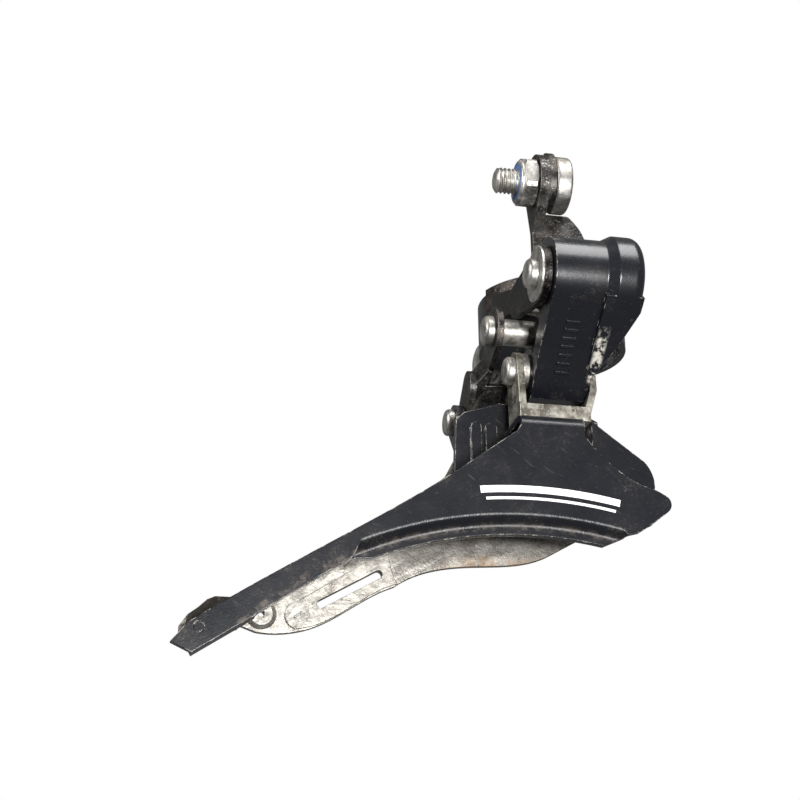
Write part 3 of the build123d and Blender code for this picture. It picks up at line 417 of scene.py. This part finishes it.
def turned_piece(stations, centre, depth_at):
    """Lathed solid along X from (x, radius) stations, with a helical groove of the depth given."""
    shape = bmesh.new()
    rings = []
    for x, radius in stations:
        ring = []
        for index in range(TURN_SEGMENTS):
            share = index / TURN_SEGMENTS
            phase = (x / THREAD_PITCH - share) % 1.0
            groove = depth_at(x) * (1.0 - abs(2.0 * phase - 1.0))
            angle = 2 * math.pi * share
            reach = radius - groove
            ring.append(shape.verts.new((x, centre[0] + reach * math.cos(angle),
                                         centre[1] + reach * math.sin(angle))))
        rings.append(ring)
    for near, far in zip(rings, rings[1:]):
        for index in range(TURN_SEGMENTS):
            after = (index + 1) % TURN_SEGMENTS
            shape.faces.new((near[index], near[after], far[after], far[index]))
    shape.faces.new(rings[0])
    shape.faces.new(rings[-1])
    return shape


def quarter_turn(step):
    """Angle of one step of a rounded rim."""
    return math.pi / 2 * step / RIM_STEPS


def anchor_bolt_piece(material):
    """Cable anchor bolt with a real thread on its open end and a round head."""
    low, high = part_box("cable_anchor_bolt")
    centre = ((low.y + high.y) / 2, (low.z + high.z) / 2)
    head_radius = (high.y - low.y) / 2
    under_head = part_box("cable_clamp_plate")[1].x + HEAD_GAP
    thread_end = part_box("cable_anchor_nut")[0].x + 0.3 * MM
    thread_start = low.x + 0.3 * MM
    tip_radius = SHANK_R - TIP_CHAMFER
    stations = [(low.x, tip_radius), (low.x + 0.05 * MM, tip_radius + 0.1 * MM)]
    count = int((thread_end - thread_start) / THREAD_PITCH * RINGS_PER_PITCH)
    for index in range(count + 1):
        x = thread_start + index * THREAD_PITCH / RINGS_PER_PITCH
        stations.append((x, min(SHANK_R, SHANK_R - 0.5 * MM + (x - low.x))))
    stations.append((thread_end + 0.2 * MM, SHANK_R))
    stations.append((under_head - 0.01 * MM, SHANK_R))
    stations.append((under_head, head_radius - HEAD_RIM))
    for step in range(1, RIM_STEPS + 1):
        turn = quarter_turn(step)
        stations.append((under_head + HEAD_RIM * (1 - math.cos(turn)),
                         head_radius - HEAD_RIM * (1 - math.sin(turn))))
    for step in range(RIM_STEPS + 1):
        turn = quarter_turn(step)
        stations.append((high.x - HEAD_RIM * (1 - math.sin(turn)),
                         head_radius - HEAD_RIM * (1 - math.cos(turn))))

    def depth_at(x):
        start = max(0.0, min(1.0, (x - low.x) / THREAD_PITCH))
        stop = max(0.0, min(1.0, (thread_end - x) / THREAD_PITCH))
        return THREAD_DEPTH * min(start, stop)

    shape = turned_piece(stations, centre, depth_at)
    piece = finish_piece(shape, "threaded_anchor_bolt", "outer_link", material)
    piece.data.set_sharp_from_angle(angle=math.radians(50))
    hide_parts("cable_anchor_bolt")


def bar(shape, centre, along, across, out, size, corner):
    """Rounded flat bar: size is length, width and thickness, with its back on the surface."""
    length, width, thick = size
    outline = []
    for side_a, side_b, start in ((1, 1, 0), (-1, 1, 90), (-1, -1, 180), (1, -1, 270)):
        for step in range(RIB_CORNER_STEPS + 1):
            turn = math.radians(start + step * 90 / RIB_CORNER_STEPS)
            outline.append((side_a * (length / 2 - corner) + corner * math.cos(turn),
                            side_b * (width / 2 - corner) + corner * math.sin(turn)))
    rim = [[], []]
    for level, row in enumerate(rim):
        lift = thick * level
        shrink = 1.0 - RIB_TOP_SHRINK * level
        for u, v in outline:
            row.append(shape.verts.new(centre + along * u * shrink + across * v * shrink + out * lift))
    count = len(outline)
    for index in range(count):
        after = (index + 1) % count
        shape.faces.new((rim[0][index], rim[0][after], rim[1][after], rim[1][index]))
    shape.faces.new(rim[0])
    shape.faces.new(rim[1])


def plate_stripes(material):
    """Two plain printed stripes on the outer plate, following the cage curve."""
    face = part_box("cage_outer_plate")[0].y
    shape = bmesh.new()
    for middle, width, start, end in STRIPES:
        rows = []
        for index in range(STRIPE_STEPS + 1):
            turn = math.radians(start + (end - start) * index / STRIPE_STEPS)
            row = []
            for radius in (middle - width / 2, middle + width / 2):
                x = ARC_X + radius * MM * math.sin(turn)
                z = ARC_Z + radius * MM * math.cos(turn)
                row.append(shape.verts.new((x, face, z)))
                row.append(shape.verts.new((x, face - STRIPE_LIFT, z)))
            rows.append((row[0], row[1], row[3], row[2]))
        for near, far in zip(rows, rows[1:]):
            for index in range(4):
                after = (index + 1) % 4
                shape.faces.new((near[index], near[after], far[after], far[index]))
        shape.faces.new(rows[0])
        shape.faces.new(rows[-1])
    finish_piece(shape, "plate_stripes", "cage", material, False)


def link_ribs(material):
    """Plain raised ribs on the outboard face of the outer link."""
    low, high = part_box("outer_pivot_pin")
    pivot = Vector((RIB_X, (low.y + high.y) / 2, (low.z + high.z) / 2))
    down = Vector((0, math.sin(LEAN), -math.cos(LEAN)))
    out = Vector((0, -math.cos(LEAN), -math.sin(LEAN)))
    side = Vector((1, 0, 0))
    shape = bmesh.new()
    for index in range(RIB_COUNT):
        along_link = RIB_FIRST + index * RIB_SPACING
        face = LINK_BOSS_R - LINK_TAPER * min(along_link / LINK_TAPER_END, 1.0)
        place = pivot + down * along_link + out * (face - RIB_SINK)
        bar(shape, place, side, down, out, RIB_SIZE, RIB_CORNER)
    finish_piece(shape, "link_ribs", "outer_link", material, False)


def printed_white():
    """Flat white print, a little worn."""
    m = Nodes("white_print")
    wear = m.step(m.noise(900, 5.0, 0.7), 0.62, 0.74)
    colour = m.mix(m.math("MULTIPLY", wear, 0.6), (0.72, 0.72, 0.71), (0.10, 0.10, 0.10))
    m.put(colour, m.shader.inputs["Base Color"])
    m.shader.inputs["Roughness"].default_value = 0.5
    return m.material


anchor_bolt_piece(zinc)
plate_stripes(printed_white())
link_ribs(black_enamel("rib_enamel", wear=0.0))


# ---------------------------------------------------------------- lights and camera

def view_axes():
    """Back, right and up directions of the camera."""
    az, el, roll = (math.radians(a) for a in (AZIMUTH, ELEVATION, ROLL))
    back = Vector((math.sin(az) * math.cos(el), -math.cos(az) * math.cos(el), math.sin(el)))
    right = (-back).cross(Vector((0, 0, 1))).normalized()
    up = right.cross(-back)
    turned_right = right * math.cos(roll) - up * math.sin(roll)
    turned_up = up * math.cos(roll) + right * math.sin(roll)
    return back, turned_right, turned_up


def facing(back, right, up, place):
    """Matrix of a camera or light at a place."""
    turn = Matrix((right, up, back)).transposed().to_4x4()
    return Matrix.Translation(place) @ turn


def area_light(name, place, aim, size, power, colour=(1.0, 1.0, 1.0)):
    """Soft rectangular light turned to a point."""
    data = bpy.data.lights.new(name, "AREA")
    data.size = size
    data.energy = power
    data.color = colour
    light = bpy.data.objects.new(name, data)
    bpy.context.scene.collection.objects.link(light)
    back = (place - aim).normalized()
    right = Vector((0, 0, 1)).cross(back).normalized()
    light.matrix_world = facing(back, right, back.cross(right), place)
    return light


back, right, up = view_axes()
clamp_low, clamp_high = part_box("clamp_band")
clamp_centre = Vector((0.0, 0.0, (clamp_low.z + clamp_high.z) / 2))
aim = clamp_centre - right * CLAMP_RIGHT - up * CLAMP_UP
eye = aim + back * DISTANCE
camera_data = bpy.data.cameras.new("camera")
camera_data.lens = LENS
camera_data.clip_start = 0.01
camera = bpy.data.objects.new("camera", camera_data)
bpy.context.scene.collection.objects.link(camera)
camera.matrix_world = facing(back, right, up, eye)
bpy.context.scene.camera = camera

centre = (Vector(cad_box[0]) + Vector(cad_box[1])) / 2
area_light("key", eye + right * 0.10 + up * 0.03, centre, 0.05, 1.5)
area_light("left_soft", centre - right * 0.40 + up * 0.25 + back * 0.15, centre, 0.22, 2.4)
area_light("top_soft", centre + up * 0.45 + back * 0.05 + right * 0.15, centre, 0.30, 2.4)

world = bpy.data.worlds.new("studio")
bpy.context.scene.world = world
world.use_nodes = True
background = world.node_tree.nodes["Background"]
background.inputs["Color"].default_value = (1.0, 1.0, 1.0, 1.0)
background.inputs["Strength"].default_value = 0.20
seen = world.node_tree.nodes.new("ShaderNodeBackground")
seen.inputs["Color"].default_value = (1.0, 1.0, 1.0, 1.0)
seen.inputs["Strength"].default_value = 1.0
ray = world.node_tree.nodes.new("ShaderNodeLightPath")
choose = world.node_tree.nodes.new("ShaderNodeMixShader")
world.node_tree.links.new(ray.outputs["Is Camera Ray"], choose.inputs["Fac"])
world.node_tree.links.new(background.outputs[0], choose.inputs[1])
world.node_tree.links.new(seen.outputs[0], choose.inputs[2])
world.node_tree.links.new(choose.outputs[0], world.node_tree.nodes["World Output"].inputs["Surface"])
bpy.context.scene.view_settings.view_transform = "Standard"
